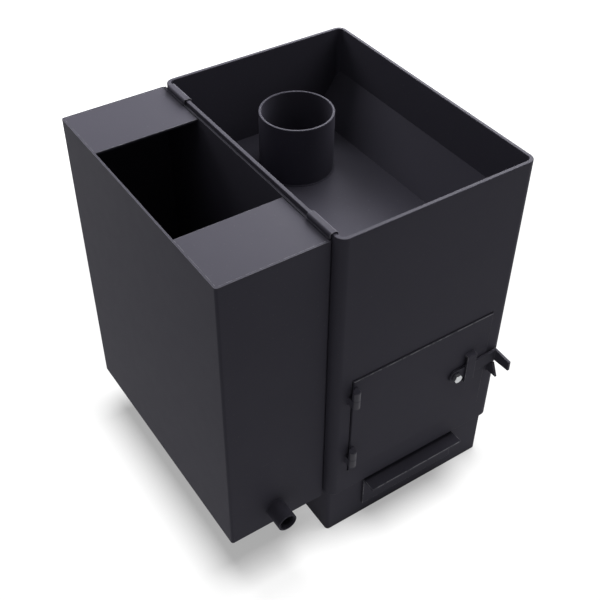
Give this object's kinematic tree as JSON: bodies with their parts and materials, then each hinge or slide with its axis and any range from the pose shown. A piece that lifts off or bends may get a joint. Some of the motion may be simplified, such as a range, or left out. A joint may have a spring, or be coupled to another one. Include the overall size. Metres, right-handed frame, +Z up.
{
  "type": "sauna stove",
  "caption": "Wood-fired sauna stove of welded black sheet: open stone basket with flue collar, latched firebox door, ash drawer and a water tank hung on its side.",
  "frame": {"origin": "on the floor under the middle of the stove body", "axes": "+Z up, the door faces -Y, the water tank is on the -X side"},
  "size_m": [0.4837, 0.4868, 0.6023],
  "materials": {
    "black_paint": "matt heat-resistant paint",
    "cast_iron": "rough casting",
    "zinc_plate": "bright zinc plate",
    "bare_steel": "turned"
  },
  "bodies": {
    "stove": {"body_shell": "black_paint", "basket_floor": "black_paint", "flue_collar": "black_paint", "firebox_floor": "black_paint", "grate_seats": "black_paint", "fire_grate": "cast_iron", "ash_box_shell": "black_paint", "ash_box_base": "black_paint", "drawer_runners": "black_paint", "door_stop": "black_paint", "latch_keeper": "black_paint", "hinge_frame_halves": "black_paint", "hinge_pins": "bare_steel"},
    "door": {"door_plate": "black_paint", "hinge_door_halves": "black_paint", "latch_guide": "black_paint", "latch_bolt": "zinc_plate", "latch_washers": "zinc_plate", "latch_nut": "zinc_plate"},
    "latch": {"latch_lever": "black_paint"},
    "ash_drawer": {"ash_drawer_front": "black_paint", "ash_pan": "black_paint"},
    "tank": {"tank_walls": "black_paint", "tank_bottom": "black_paint", "tank_front_cover": "black_paint", "tank_rear_cover": "black_paint", "tank_hooks": "black_paint", "outlet_nipple": "black_paint"}
  },
  "joints": [
    {"name": "door_hinge", "type": "hinge", "parent": "stove", "child": "door", "pos_m": [-0.1285, -0.235, 0.248], "axis": [0, 0, -1], "range_deg": [0, 165]},
    {"name": "latch_pivot", "type": "hinge", "parent": "door", "child": "latch", "pos_m": [0.0645, -0.2298, 0.243], "axis": [0, -1, 0], "range_deg": [-2, 26]},
    {"name": "drawer_slide", "type": "slide", "parent": "stove", "child": "ash_drawer", "axis": [0, -1, 0], "range_m": [0, 0.3]},
    {"name": "tank_lift", "type": "slide", "parent": "stove", "child": "tank", "axis": [0, 0, 1], "range_m": [0, 0.03]}
  ]
}
